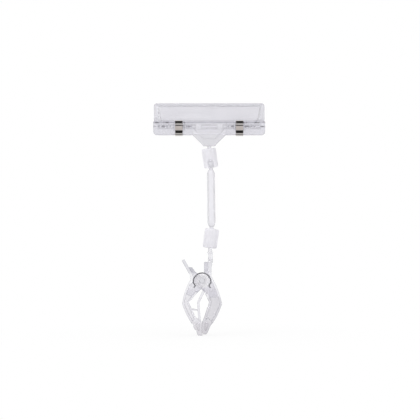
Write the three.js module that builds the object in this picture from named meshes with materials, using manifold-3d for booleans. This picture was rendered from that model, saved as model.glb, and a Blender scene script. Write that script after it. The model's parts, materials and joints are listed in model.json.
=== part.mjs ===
// A sign clip holder: a wide sprung card clip on a jointed arm, held by a small spring clamp.
// Millimetres, +Z up. The card clip faces -Y, and the origin lies between the clamp's teeth.

import * as THREE from "three";
import { ConvexGeometry } from "three/addons/geometries/ConvexGeometry.js";
import { mergeVertices } from "three/addons/utils/BufferGeometryUtils.js";
import Module from "manifold-3d";

const wasm = await Module();
wasm.setup();

const degrees = Math.PI / 180;
const clearance = 0.3; // between two pieces that fit together
const meshGrain = 0.005; // finest detail that is kept in a piece's faces

// Ball joints: each sleeve holds a ball in both of its ends
const ballRadius = 3.4;
const neckRadius = 1.5;
const neckFlare = 0.25; // how much a neck widens at its root
const lipAngle = 50 * degrees; // from the sleeve's axis to the lip that keeps the ball in
const lipDepth = 0.6; // from that lip to the sleeve's end
const seatWall = 0.5; // between the two ball seats
const sleeveWall = 1.4; // round the widest part of a seat
const sleeveEdge = 1.1; // rounding of the sleeve's ends
const boreRadius = 1.8; // hole between the seats
const slotPlay = 1.0; // room beside a neck that folds over into a slot
const slotArch = 0.5; // from a ball's centre to the centre of its slot's arch
const lowerLean = 8 * degrees; // how the sleeves and the rod lean towards +X
const upperLean = -8.4 * degrees;
const rodLean = -0.7 * degrees;
const seatRadius = ballRadius + clearance;
const seatSpacing = 2 * seatRadius + seatWall;
const sleeveRadius = seatRadius + sleeveWall;
const sleeveHalf = seatSpacing / 2 + seatRadius * Math.cos(lipAngle) + lipDepth;
const slotHalf = neckRadius + slotPlay;

// Link rod
const rodReach = 50.2; // from ball centre to ball centre
const rodAcross = 5.9; // over the corners of its six sides
const rodNeck = 4.8; // from a ball's centre to the rod's end
const rodTaper = 2.4;
const rodEndAcross = 4.0;

// Card clip, measured from its parting plane and its ledge
const clipWidth = 80;
const jawHeight = 13.9; // from the ledge to the top of the lips
const jawWall = 1.2;
const lipBand = 1.8; // height of the flat lip
const rimWall = 1.0;
const rimWidth = 2.0; // width of the side rims
const cardGap = 1.6; // between the side rims, for a card wider than the clip
const crestStep = 0.9; // from the rim out to the top edge of the sloping face
const ledgeOut = 5.2; // from the parting plane to the edge of the ledge
const faceInsetTop = 2.3; // from the clip's end to the sloping face
const faceInsetFoot = 5.0;
const floorWall = 1.0;
const jawCorner = 2.0;
const handleHeight = 9.0; // how far the handles hang below the ledge
const handleWall = 1.6;
const handleGap = 3.4; // between the two handles
const handleCorner = 2.4;
const handleOverhang = 0.4; // how far the handles stand past the jaws' ends
const fulcrumDrop = 2.8; // from the ledge to the fulcrum beads
const beadRadius = 1.1;
const beadLength = 11;
const beadPitch = 15.6;
const beadCount = 5;
const seatLip = 0.5; // wall above and below a bead's groove

// Lug under the front jaw
const lugWidth = 24.2;
const lugCorner = 0.9; // of that end's corners
const lugBelow = 8.2; // how far it reaches below the handles
const lugFoot = 9.6; // width of its lower end
const lugRim = 3.4; // width of the rim round its pocket
const lugSole = 5.3; // height of the solid end under the pocket
const pocketDrop = 4.8; // from the ledge to the pocket
const pocketDepth = 1.6;
const lugNeck = 4.6; // from the lug's lower end to its ball's centre
const lugThickness = ledgeOut - handleGap / 2;
const lugMiddle = handleGap / 2 + lugThickness / 2;
const ledgeRise = lugNeck + lugBelow + handleHeight;

// Flat springs round the two handles
const jawSpringWidth = 5.4;
const jawSpringSheet = 0.5;
const jawSpringSpan = 43.8; // from the middle of one spring to the middle of the other
const jawSpringGrip = 2.1; // from the ledge down to the line where a spring grips
const jawSpringFlare = 3.2; // how far a spring's lip flares out and up from that line
const jawSpringBelly = 1.5; // how far a spring bellies out below that line
const jawSpringBend = 2.2; // radius of its lower corners
const guideWall = 1.0; // ribs beside a spring
const guideHeight = 0.9;
const guideLength = 5.5;

// Clamp, measured from its pivot
const gripDrop = 34.3; // from the pivot to the middle of the teeth
const clampDepth = 12;
const cheekWall = 1.5;
const ribWall = 1.4; // ribs along the arms' outer edges
const edgeWall = 1.2; // rib along the moving arm's inner edge
const webWall = 2.4; // web in the middle of the arms
const hubRadius = 3.3;
const trunnionRadius = 1.8;
const trunnionInset = 0.2; // from the cheeks' outer faces
const discRadius = 5.4; // round ends of the fixed arm's cheeks
const elbowOut = 14.3;
const elbowDrop = 16.7;
const wristOut = 7.6;
const wristDrop = 30.6;
const armBow = 0.9; // how far the arms' outer edges bow out
const bandWidth = 4.7; // of the moving arm at its elbow
const tipDrop = 38.5;
const tipHalf = 3.2;
const tipLonger = 0.9; // how much lower the moving arm's tip ends
const tipPocket = 3.4; // depth of the pockets in the tips' sides
const toothTop = 29.9; // from the pivot down to the first tooth
const toothPitch = 2.2;
const toothHeight = 1.0;
const toothCount = 3;
const toothGap = 0.42; // between the two rows of teeth, measured level
const fingerWall = 1.7; // the moving arm's inner finger
const fingerKink = 2.7; // from the middle to the finger at its bend
const strutWall = 0.9;
const leafWall = 1.7; // the fixed arm's inner edge
const leafKink = 5.9; // from the middle to the leaf at its bend
const leverRise = 14.3; // the moving arm's handle end
const leverOut = 14.6;
const leverWall = 2.0;
const leverCheekRise = 9.6;
const postOut = 6.8; // outer side of the post above the fixed arm
const postPlate = 2.3;
const postRise = 13.3;
const postCheek = 5.4; // from the post's outer side to its cheeks' free edge
const stemLean = 0.9; // how far the stem steps out from the post
const stemWide = 3.3;
const stemDeep = 4.8;
const stemRise = 19.4;
const collarRadius = 2.15;
const collarHeight = 1.3;
const stemReach = 26.5; // from the pivot up to the stem's ball
const stemBallOut = 5.8;

// Wire spring round the pivot
const wireRadius = 0.5;
const wireLoop = 6.3; // radius of its loop
const wireDrop = 0.9; // from the pivot down to the loop's centre
const barRadius = 0.7; // bars that the wire's ends grip
const barAngle = 35 * degrees; // of those bars below the pivot
const wireFootOut = 5.9;
const wireFootDrop = 5.2;
const barReach = hubRadius + barRadius + 2 * clearance;
const pinchReach = barReach + barRadius + wireRadius + clearance;
const waistOut = wireLoop + wireRadius + clearance + ribWall;

const at = (x, y) => new THREE.Vector2(x, y);
const polar = (reach, angle) => at(reach * Math.cos(angle), reach * Math.sin(angle));

// A closed body from a geometry, without the seams that its normals need.
function solid(geometry) {
  geometry.deleteAttribute("normal");
  geometry.deleteAttribute("uv");
  const welded = mergeVertices(geometry, 1e-4);
  const corners = welded.index.array;
  const triangles = [];
  for (let i = 0; i < corners.length; i += 3) {
    const [a, b, c] = corners.slice(i, i + 3);
    if (a !== b && b !== c && c !== a) triangles.push(a, b, c);
  }
  return new wasm.Manifold(new wasm.Mesh({
    numProp: 3,
    vertProperties: new Float32Array(welded.attributes.position.array),
    triVerts: new Uint32Array(triangles),
  }));
}

const joined = (bodies) => bodies.reduce((whole, body) => whole.add(body));
const outline = (points) => new THREE.Shape(points);

// An outline in X and Z, drawn out along Y between two depths.
function acrossY(shape, from, to) {
  const geometry = new THREE.ExtrudeGeometry(shape, { depth: to - from, bevelEnabled: false, curveSegments: 4 });
  return solid(geometry.translate(0, 0, -to).rotateX(Math.PI / 2));
}

const throughY = (shape, depth) => acrossY(shape, -depth / 2, depth / 2);

// The same outline twice, as a pair of plates whose outer faces are a given depth apart.
function pairOfPlates(shape, depth, wall) {
  return acrossY(shape, depth / 2 - wall, depth / 2).add(acrossY(shape, -depth / 2, wall - depth / 2));
}

// An outline in Y and Z, drawn out along X between two places.
function acrossX(shape, from, to) {
  const geometry = new THREE.ExtrudeGeometry(shape, { depth: to - from, bevelEnabled: false, curveSegments: 4 });
  const turn = new THREE.Matrix4().makeBasis(
    new THREE.Vector3(0, 1, 0),
    new THREE.Vector3(0, 0, 1),
    new THREE.Vector3(1, 0, 0),
  );
  return solid(geometry.translate(0, 0, from).applyMatrix4(turn));
}

// A profile of radius and height turned about Z, with its points in order from the foot up the outside.
function turned(points, segments, start = 0) {
  return solid(new THREE.LatheGeometry(points, segments, start).rotateX(Math.PI / 2));
}

function disc(radius, x = 0, z = 0) {
  return outline(new THREE.EllipseCurve(x, z, radius, radius).getPoints(24).slice(1));
}

// A line of points moved sideways, to its left for a positive distance.
function moved(points, distance) {
  return points.map((point, i) => {
    const before = points[i - 1] ?? point.clone().multiplyScalar(2).sub(points[i + 1]);
    const after = points[i + 1] ?? point.clone().multiplyScalar(2).sub(before);
    const into = point.clone().sub(before).normalize();
    const out = after.clone().sub(point).normalize();
    const bisector = into.clone().add(out).normalize();
    const reach = distance / bisector.dot(into);
    return at(point.x - bisector.y * reach, point.y + bisector.x * reach);
  });
}

// A strip along a line of points, between two sideways distances from it.
const strip = (points, left, right) => outline([...moved(points, left), ...moved(points, right).reverse()]);
const wallOn = (points, wall) => strip(points, wall / 2, -wall / 2);

// A curve between two points whose middle stands off to the left of the straight line.
function bowed(from, to, bow) {
  const across = to.clone().sub(from);
  const side = at(-across.y, across.x).normalize();
  const control = from.clone().lerp(to, 0.5).addScaledVector(side, 2 * bow);
  return new THREE.QuadraticBezierCurve(from, control, to).getPoints(6);
}

// A rectangle with one rounding at its lower corners and another at its upper ones.
function plate(half, foot, top, footCorner, topCorner) {
  const shape = new THREE.Shape();
  shape.moveTo(-half + footCorner, foot);
  shape.absarc(half - footCorner, foot + footCorner, footCorner, -Math.PI / 2, 0);
  shape.absarc(half - topCorner, top - topCorner, topCorner, 0, Math.PI / 2);
  shape.absarc(-half + topCorner, top - topCorner, topCorner, Math.PI / 2, Math.PI);
  shape.absarc(-half + footCorner, foot + footCorner, footCorner, Math.PI, 1.5 * Math.PI);
  return shape;
}

// A ball at the origin on a neck that runs down to its root.
function ballStud(length) {
  const neckTop = Math.asin(neckRadius / ballRadius);
  const points = [at(0, -length), at(neckRadius + neckFlare, -length), at(neckRadius, neckFlare - length)];
  const steps = 9;
  for (let i = 0; i <= steps; i += 1) {
    const angle = THREE.MathUtils.lerp(neckTop, Math.PI, i / steps);
    points.push(at(ballRadius * Math.sin(angle), -ballRadius * Math.cos(angle)));
  }
  return turned(points, 20);
}

// Socket sleeve about the origin: a ball seat in each end, and a slot in the upper one that faces +X.
function ballSleeve() {
  const seat = seatSpacing / 2;
  const steps = 7;
  const inner = [];
  const first = Math.asin(boreRadius / seatRadius);
  for (let i = 0; i <= steps; i += 1) {
    const angle = THREE.MathUtils.lerp(first, Math.PI - lipAngle, i / steps);
    inner.push(at(seatRadius * Math.sin(angle), seat - seatRadius * Math.cos(angle)));
  }
  inner.push(at((sleeveHalf - seat) * Math.tan(lipAngle), sleeveHalf));
  const outer = [0, 1, 2].map((i) => polar(sleeveEdge, i * 45 * degrees)
    .add(at(sleeveRadius - sleeveEdge, sleeveHalf - sleeveEdge)));
  const upper = [...outer, ...inner.reverse()];
  const lower = upper.map((point) => at(point.x, -point.y)).reverse();
  const body = turned([...lower, ...upper, lower[0]], 28);

  const slot = new THREE.Shape();
  slot.moveTo(slotHalf, sleeveHalf + 1);
  slot.lineTo(-slotHalf, sleeveHalf + 1);
  slot.absarc(0, seat - slotArch, slotHalf, Math.PI, 2 * Math.PI);
  return body.subtract(acrossX(slot, 0, sleeveRadius + 1));
}

function linkRod() {
  const half = rodReach / 2;
  const end = half - rodNeck;
  const bar = turned([
    at(0, -end),
    at(rodEndAcross / 2, -end),
    at(rodAcross / 2, rodTaper - end),
    at(rodAcross / 2, end - rodTaper),
    at(rodEndAcross / 2, end),
    at(0, end),
  ], 6, Math.PI / 6);
  const stud = ballStud(rodNeck + neckFlare / 2).translate([0, 0, half]);
  return joined([bar, stud, stud.rotate([180, 0, 0])]);
}

// A hipped wedge: an upright rectangle whose sloping face stands out most along its foot.
function wedge(base, crest, foot) {
  const corners = [-1, 1].flatMap((side) => [
    new THREE.Vector3(side * base.half, base.out, base.foot),
    new THREE.Vector3(side * base.half, base.out, base.top),
    new THREE.Vector3(side * crest.half, crest.out, crest.rise),
    new THREE.Vector3(side * foot.half, foot.out, base.foot),
  ]);
  return solid(new ConvexGeometry(corners));
}

// One jaw of the card clip on the +Y side of the parting plane, with its handle and spring guides.
function jawHalf() {
  const half = clipWidth / 2;
  const rimFace = cardGap / 2;
  const rimBack = rimFace + rimWall;
  const crest = jawHeight - lipBand;
  const slope = Math.hypot(1, (ledgeOut - rimBack - crestStep) / crest);
  const rim = plate(half, 0, jawHeight, 0.3, jawCorner);
  const outside = wedge(
    { half, out: rimBack, foot: 0, top: jawHeight },
    { half: half - faceInsetTop, out: rimBack + crestStep, rise: crest },
    { half: half - faceInsetFoot, out: ledgeOut },
  ).intersect(acrossY(rim, 0, ledgeOut + 1));
  const lip = plate(half - jawCorner, crest, jawHeight, 0.3, 0.3);
  const shell = joined([outside, acrossY(rim, rimFace, rimBack), acrossY(lip, clearance / 2, rimBack)]);
  const hollow = wedge(
    { half: half - rimWidth, out: 0, foot: floorWall, top: crest },
    { half: half - faceInsetTop - jawWall, out: rimBack + crestStep - jawWall * slope, rise: crest - 0.4 },
    { half: half - faceInsetFoot - jawWall, out: ledgeOut - jawWall * slope - floorWall * (slope - 1) },
  );

  const handleFace = handleGap / 2;
  const handleBack = handleFace + handleWall;
  const handleHalf = half + handleOverhang;
  const handle = acrossY(plate(handleHalf, -handleHeight, 0.6, handleCorner, 0.3), handleFace, handleBack);
  const guides = [-1, 1].flatMap((side) => [-1, 1].map((edge) => {
    const middle = side * jawSpringSpan / 2 + edge * (jawSpringWidth / 2 + clearance + guideWall / 2);
    const rib = plate(guideWall / 2, -guideLength, 0.2, 0.3, 0.1);
    return acrossY(rib, handleBack - 0.2, handleBack + guideHeight).translate([middle, 0, 0]);
  }));
  return joined([shell.subtract(hollow), handle, ...guides]);
}

const beads = Array.from({ length: beadCount }, (_, i) => (i - (beadCount - 1) / 2) * beadPitch);

function rearJaw() {
  const handleFace = handleGap / 2;
  const rounds = beads.map((middle) => {
    const from = middle - beadLength / 2;
    const neck = outline([
      at(0, -fulcrumDrop - beadRadius * 0.8),
      at(handleFace + 0.3, -fulcrumDrop - beadRadius * 0.8),
      at(handleFace + 0.3, -fulcrumDrop + beadRadius * 0.8),
      at(0, -fulcrumDrop + beadRadius * 0.8),
    ]);
    return acrossX(disc(beadRadius, 0, -fulcrumDrop), from, from + beadLength)
      .add(acrossX(neck, from, from + beadLength));
  });
  return joined([jawHalf(), ...rounds]);
}

// The lug: a ribbed gusset that narrows from the front jaw's handle down to a neck and ball.
function lug() {
  const foot = -handleHeight - lugBelow;
  const half = lugWidth / 2;
  const end = lugFoot / 2;
  const shoulder = -handleHeight - 0.1;
  const body = outline([
    at(-half, 0.4),
    at(-half, shoulder),
    at(-end, foot + lugCorner),
    at(-end + 0.3 * lugCorner, foot + 0.3 * lugCorner),
    at(-end + lugCorner, foot),
    at(end - lugCorner, foot),
    at(end - 0.3 * lugCorner, foot + 0.3 * lugCorner),
    at(end, foot + lugCorner),
    at(half, shoulder),
    at(half, 0.4),
  ]);
  const narrowing = (half - end) / (shoulder - foot - lugCorner);
  const inside = (z) => half - narrowing * (shoulder - z) - lugRim * Math.hypot(1, narrowing);
  const pocketFoot = foot + lugSole;
  const pocket = outline([
    at(-inside(-pocketDrop), -pocketDrop),
    at(-inside(pocketFoot), pocketFoot),
    at(inside(pocketFoot), pocketFoot),
    at(inside(-pocketDrop), -pocketDrop),
  ]);
  const stud = ballStud(lugNeck + neckFlare / 2).rotate([180, 0, 0]).translate([0, -lugMiddle, -ledgeRise]);
  return acrossY(body, -ledgeOut, -handleGap / 2)
    .subtract(acrossY(pocket, -ledgeOut - 1, pocketDepth - ledgeOut))
    .add(stud);
}

function frontJaw() {
  const grooveRadius = beadRadius + clearance;
  const seatHalf = grooveRadius + seatLip;
  const length = (beadCount - 1) * beadPitch + beadLength + 2 * (clearance + seatLip);
  const block = outline([
    at(-handleGap / 2 - 0.3, -fulcrumDrop - seatHalf),
    at(-clearance, -fulcrumDrop - seatHalf),
    at(-clearance, -fulcrumDrop + seatHalf),
    at(-handleGap / 2 - 0.3, -fulcrumDrop + seatHalf),
  ]);
  const grooves = beads.map((middle) => {
    const reach = beadLength / 2 + clearance;
    return acrossX(disc(grooveRadius, 0, -fulcrumDrop), middle - reach, middle + reach);
  });
  const seat = acrossX(block, -length / 2, length / 2).subtract(joined(grooves));
  return joined([jawHalf().rotate([0, 0, 180]), seat, lug()]);
}

// Flat spring seen from its end: a lip, a gripping bend and a belly on each side, joined by a bow.
function jawSpring(middle) {
  const grip = handleGap / 2 + handleWall + clearance + jawSpringSheet / 2;
  const belly = grip + jawSpringBelly;
  const low = -handleHeight - clearance - jawSpringSheet / 2;
  const side = [at(grip + jawSpringFlare, jawSpringFlare - jawSpringGrip), at(grip, -jawSpringGrip)];
  const steps = 5;
  for (let i = 0; i <= steps; i += 1) {
    const turn = polar(jawSpringBend, -i / steps * Math.PI / 2);
    side.push(at(belly - jawSpringBend + turn.x, low + jawSpringBend + turn.y));
  }
  const other = side.map((point) => at(-point.x, point.y)).reverse();
  const half = jawSpringWidth / 2;
  return acrossX(wallOn([...side, ...other], jawSpringSheet), middle - half, middle + half);
}

// The wire spring's middle line: a loop over the pivot whose two ends pinch in and then turn out.
function wireLine() {
  const start = 8 * degrees;
  const right = [at(wireFootOut, -wireFootDrop), polar(pinchReach, -barAngle)];
  const loop = [];
  const steps = 12;
  for (let i = 0; i <= steps; i += 1) {
    loop.push(polar(wireLoop, THREE.MathUtils.lerp(-start, Math.PI + start, i / steps)).sub(at(0, wireDrop)));
  }
  const left = right.map((point) => at(-point.x, point.y)).reverse();
  return new THREE.CatmullRomCurve3([...right, ...loop, ...left].map((p) => new THREE.Vector3(p.x, 0, p.y)));
}

function alongWire(radius) {
  const section = new THREE.Shape().absarc(0, 0, radius, 0, 2 * Math.PI);
  return solid(new THREE.ExtrudeGeometry(section, { steps: 44, curveSegments: 4, extrudePath: wireLine() }));
}

// An arm's outer edge from a shoulder near the pivot, round the elbow to the wrist.
function armEdge(side, shoulder) {
  const elbow = at(side * elbowOut, -elbowDrop);
  const wrist = at(side * wristOut, -wristDrop);
  return [...bowed(shoulder, elbow, side * armBow).slice(0, -1), ...bowed(elbow, wrist, side * armBow * 0.6)];
}

// The zigzag of the gripping face, from its top down.
function toothLine(side) {
  const points = [];
  for (let i = 0; i <= 2 * toothCount + 1; i += 1) {
    const swing = (i % 2 ? 0.5 : -0.5) * toothHeight;
    points.push(at(side * toothGap / 2 + swing, -toothTop - i * toothPitch / 2));
  }
  return points;
}

// Solid end of an arm, with the teeth on its inner side, the given points outside and a pocket in each side.
function tip(side, upper, outer, drop) {
  const teeth = toothLine(side);
  const last = teeth[teeth.length - 1];
  const body = outline([
    ...upper,
    at(side * wristOut, -wristDrop),
    ...outer.map((point) => at(side * point.x, point.y)),
    at(last.x, -drop),
    ...teeth.reverse(),
  ]);
  const pocket = outline([
    at(side * 2, -toothTop - 0.6),
    at(side * (wristOut - 3), -wristDrop - 0.7),
    at(side * (tipHalf - 0.4), 2.4 - tipDrop),
    at(side * 2, 2.4 - tipDrop),
  ]);
  return throughY(body, clampDepth).subtract(pairOfPlates(pocket, clampDepth + 2, tipPocket + 1));
}

const barAt = (side) => at(side * barReach * Math.cos(barAngle), -barReach * Math.sin(barAngle));

function movingArm() {
  const waist = at(-waistOut, 0.6);
  const edge = armEdge(-1, waist);
  const lever = [at(-leverOut, leverRise), at(-waistOut, 3.4), waist, edge[1]];
  const innerWidth = clampDepth - 2 * (cheekWall + clearance);
  const elbowIn = at(bandWidth - elbowOut, 1 - elbowDrop);
  const inner = [at(-3.4, -8.6), elbowIn, at(-4.9, -wristDrop + 4.2), at(-3.4, -wristDrop + 1)];
  const finger = [
    at(0.9, -hubRadius + 0.6),
    at(1.3, -7.4),
    at(-fingerKink, 1.2 - elbowDrop),
    at(0.3 - fingerKink, -elbowDrop - 5.4),
    at(1.0 - fingerKink, -toothTop - 0.3),
  ];
  const strut = [at(elbowIn.x + 1.4, -elbowDrop - 4), at(0.4 - fingerKink, -elbowDrop - 4.5)];
  const tipOuter = [
    at(wristOut - 1.4, -wristDrop - 0.9),
    at(wristOut - 1.2, -wristDrop - 2.4),
    at(tipHalf + 2.1, 3.4 - tipDrop),
    at(tipHalf + 1, 2.9 - tipDrop),
    at(tipHalf + 0.2, 0.6 - tipDrop - tipLonger),
    at(tipHalf - 0.6, -tipDrop - tipLonger),
  ];
  const cheek = outline([
    at(0, hubRadius - 0.4),
    at(-5.1, 6.3),
    at(-7.2, leverCheekRise - 0.2),
    at(-9.4, leverCheekRise),
    at(-10.9, leverCheekRise - 0.8),
    at(-waistOut + 0.5, 3.4),
    ...edge.slice(0, 4),
    at(-6.4, -11.8),
    at(0.2, -5.1),
    at(1.4, -2.4),
  ]);
  const bar = barAt(-1);
  return joined([
    throughY(strip(lever, 0, leverWall), clampDepth)
      .add(throughY(strip(edge, 0, ribWall), clampDepth))
      .subtract(alongWire(wireRadius + clearance)),
    throughY(strip(inner, 0, -edgeWall), clampDepth),
    throughY(outline([...edge.slice(3), ...inner.slice().reverse()]), webWall),
    pairOfPlates(cheek, innerWidth, cheekWall),
    throughY(disc(hubRadius), innerWidth),
    throughY(disc(trunnionRadius), clampDepth - 2 * trunnionInset),
    throughY(disc(barRadius, bar.x, bar.y), innerWidth),
    throughY(wallOn(finger, fingerWall), innerWidth),
    throughY(wallOn(strut, strutWall), innerWidth),
    tip(-1, [at(0.4 - fingerKink, -toothTop + 1.5), at(-4.9, -wristDrop + 4.2)], tipOuter, tipDrop + tipLonger),
  ]);
}

function fixedArm() {
  const shoulder = at(postOut, 3);
  const edge = armEdge(1, shoulder);
  const leaf = [at(3.1, -9.4), at(leafKink, 1.4 - elbowDrop), at(1.0, -toothTop - 0.5)];
  const webCorner = leaf[0].clone().lerp(leaf[1], 0.2);
  const cheek = outline([
    at(postOut - postCheek, postRise - 0.5),
    at(postOut - postCheek + 0.5, postRise),
    at(postOut - 0.2, postRise),
    at(postOut - 0.1, 3),
    ...edge.slice(0, 5),
    at(5.2, -12.4),
    at(2.4, -9.0),
    at(-1.2, -5.2),
    at(-1.2, 5.2),
    at(postOut - postCheek, 5.4),
  ]);
  const handle = outline([
    at(postOut - postPlate, 2),
    at(postOut, 2.2),
    at(postOut, 9),
    at(postOut + stemLean, postRise),
    at(postOut + stemLean, stemRise),
    at(postOut + stemLean - stemWide, stemRise),
    at(postOut + stemLean - stemWide, postRise),
    at(postOut - postPlate, 10),
  ]);
  const flank = outline([
    at(-clampDepth / 2, 1),
    at(clampDepth / 2, 1),
    at(clampDepth / 2, postRise - 1),
    at(stemDeep / 2, postRise + 3),
    at(stemDeep / 2, stemRise),
    at(-stemDeep / 2, stemRise),
    at(-stemDeep / 2, postRise + 3),
    at(-clampDepth / 2, postRise - 1),
  ]);
  const stem = throughY(handle, clampDepth).intersect(acrossX(flank, 0, 2 * postOut));
  const collar = turned([
    at(0, 0),
    at(collarRadius, 0),
    at(collarRadius, collarHeight - 0.3),
    at(collarRadius - 0.3, collarHeight),
    at(0, collarHeight),
  ], 20).translate([stemBallOut, 0, stemRise - 0.2]);
  const collarTop = stemRise - 0.2 + collarHeight;
  const stud = ballStud(stemReach - collarTop + neckFlare / 2).translate([stemBallOut, 0, stemReach]);
  const tipOuter = [
    at(wristOut - 1.2, -wristDrop - 1.1),
    at(tipHalf + 0.6, 1 - tipDrop),
    at(tipHalf - 0.2, -tipDrop),
  ];
  const bar = barAt(1);
  const arm = throughY(strip(edge, 0, -ribWall), clampDepth);
  const plates = pairOfPlates(cheek, clampDepth, cheekWall)
    .add(pairOfPlates(disc(discRadius), clampDepth, cheekWall))
    .subtract(throughY(disc(trunnionRadius + clearance), clampDepth + 2));
  return joined([
    arm.add(stem).subtract(alongWire(wireRadius + clearance)),
    plates,
    throughY(outline([...edge.slice(4), at(1.4, -toothTop), leaf[1], webCorner]), webWall),
    throughY(wallOn(leaf, leafWall), clampDepth),
    throughY(disc(barRadius, bar.x, bar.y), clampDepth - 0.2),
    tip(1, [at(1.8, -toothTop + 1.2), at(4.4, -toothTop + 3)], tipOuter, tipDrop),
    collar,
    stud,
  ]);
}

const clearPlastic = new THREE.MeshStandardMaterial({
  color: 0xd9d8e0,
  roughness: 0.12,
  metalness: 0,
  transparent: true,
  opacity: 0.55,
});
const milkyPlastic = new THREE.MeshStandardMaterial({ color: 0xe9e8ec, roughness: 0.4, metalness: 0 });
const stripSteel = new THREE.MeshStandardMaterial({ color: 0xb9b3b0, roughness: 0.25, metalness: 1 });
const wireSteel = new THREE.MeshStandardMaterial({ color: 0x77787c, roughness: 0.35, metalness: 1 });

function piece(name, body, material) {
  const mesh = body.simplify(meshGrain).getMesh();
  const geometry = new THREE.BufferGeometry();
  geometry.setAttribute("position", new THREE.BufferAttribute(new Float32Array(mesh.vertProperties), 3));
  geometry.setIndex(new THREE.BufferAttribute(new Uint32Array(mesh.triVerts), 1));
  geometry.computeVertexNormals();
  const made = new THREE.Mesh(geometry, material);
  made.name = name;
  return made;
}

const holder = new THREE.Group();
holder.name = "sign_clip_holder";

const clamp = new THREE.Group();
clamp.position.z = gripDrop;
clamp.add(piece("fixed_arm", fixedArm(), clearPlastic));
clamp.add(piece("moving_arm", movingArm(), clearPlastic));
clamp.add(piece("clamp_spring", alongWire(wireRadius), wireSteel));
holder.add(clamp);

// Up the chain of balls, from the stem to the lug
const leanBy = (lean, length) => new THREE.Vector3(length * Math.sin(lean), 0, length * Math.cos(lean));
const stemBall = new THREE.Vector3(stemBallOut, 0, gripDrop + stemReach);
const rodFoot = stemBall.clone().add(leanBy(lowerLean, seatSpacing));
const rodHead = rodFoot.clone().add(leanBy(rodLean, rodReach));
const lugBall = rodHead.clone().add(leanBy(upperLean, seatSpacing));

const lowerSleeve = new THREE.Group();
lowerSleeve.position.copy(stemBall).lerp(rodFoot, 0.5);
lowerSleeve.rotation.y = lowerLean;
const slotBehind = piece("lower_ball_sleeve", ballSleeve(), milkyPlastic);
slotBehind.rotation.z = Math.PI / 2;
lowerSleeve.add(slotBehind);
holder.add(lowerSleeve);

const rod = piece("link_rod", linkRod(), clearPlastic);
rod.position.copy(rodFoot).lerp(rodHead, 0.5);
rod.rotation.y = rodLean;
holder.add(rod);

const upperSleeve = new THREE.Group();
upperSleeve.position.copy(rodHead).lerp(lugBall, 0.5);
upperSleeve.rotation.y = upperLean;
const slotInFront = piece("upper_ball_sleeve", ballSleeve(), milkyPlastic);
slotInFront.rotation.set(Math.PI, 0, Math.PI / 2);
upperSleeve.add(slotInFront);
holder.add(upperSleeve);

const cardClip = new THREE.Group();
cardClip.position.copy(lugBall).add(new THREE.Vector3(0, lugMiddle, ledgeRise));
cardClip.add(piece("front_jaw", frontJaw(), clearPlastic));
cardClip.add(piece("rear_jaw", rearJaw(), clearPlastic));
cardClip.add(piece("left_jaw_spring", jawSpring(-jawSpringSpan / 2), stripSteel));
cardClip.add(piece("right_jaw_spring", jawSpring(jawSpringSpan / 2), stripSteel));
holder.add(cardClip);

export default holder;
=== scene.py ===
import json
import math

import bmesh
import bpy
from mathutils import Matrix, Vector


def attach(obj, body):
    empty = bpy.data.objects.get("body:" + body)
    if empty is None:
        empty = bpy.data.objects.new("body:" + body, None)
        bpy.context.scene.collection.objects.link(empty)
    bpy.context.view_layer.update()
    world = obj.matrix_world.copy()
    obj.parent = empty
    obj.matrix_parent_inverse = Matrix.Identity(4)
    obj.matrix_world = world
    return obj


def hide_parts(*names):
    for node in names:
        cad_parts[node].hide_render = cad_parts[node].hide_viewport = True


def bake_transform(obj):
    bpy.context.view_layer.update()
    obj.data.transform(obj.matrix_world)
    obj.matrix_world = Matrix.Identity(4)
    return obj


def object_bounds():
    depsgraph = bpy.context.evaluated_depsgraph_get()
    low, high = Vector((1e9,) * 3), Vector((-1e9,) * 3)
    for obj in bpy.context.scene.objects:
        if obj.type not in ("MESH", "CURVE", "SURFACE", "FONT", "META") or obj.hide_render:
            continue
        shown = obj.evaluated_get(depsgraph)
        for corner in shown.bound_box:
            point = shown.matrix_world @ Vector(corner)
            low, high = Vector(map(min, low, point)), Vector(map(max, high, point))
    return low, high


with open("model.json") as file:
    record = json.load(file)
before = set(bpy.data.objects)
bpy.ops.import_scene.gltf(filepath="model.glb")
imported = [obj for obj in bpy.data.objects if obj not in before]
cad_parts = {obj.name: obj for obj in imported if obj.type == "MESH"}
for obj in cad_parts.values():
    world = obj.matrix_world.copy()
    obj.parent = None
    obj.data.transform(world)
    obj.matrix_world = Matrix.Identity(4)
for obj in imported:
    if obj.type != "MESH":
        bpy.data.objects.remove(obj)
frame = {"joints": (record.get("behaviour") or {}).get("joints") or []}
cadLow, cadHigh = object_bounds()
scene = bpy.context.scene
scene.view_settings.view_transform = "Standard"

mm = 0.001
quarter = math.pi / 2


# camera, straight in front of the holder
shot = {
    "middleX": 0.0057, "middleZ": 0.0852, "distance": 1.2, "across": 0.3032, "sensor": 36.0,
    "bounces": 24, "clearBounces": 32,  # clear walls lie many deep
}

lensData = bpy.data.cameras.new("shotCamera")
lensData.sensor_width = shot["sensor"]
lensData.lens = shot["sensor"] * shot["distance"] / shot["across"]
shotCamera = bpy.data.objects.new("shotCamera", lensData)
shotCamera.location = (shot["middleX"], -shot["distance"], shot["middleZ"])
shotCamera.rotation_euler = (quarter, 0, 0)
scene.collection.objects.link(shotCamera)
scene.camera = shotCamera
scene.cycles.max_bounces = shot["bounces"]
scene.cycles.transmission_bounces = shot["bounces"]
scene.cycles.transparent_max_bounces = shot["clearBounces"]
print("camera: set")


# node helpers
def newMaterial(name):
    material = bpy.data.materials.new(name)
    material.use_nodes = True
    material.node_tree.nodes.clear()
    return material, material.node_tree


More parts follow.
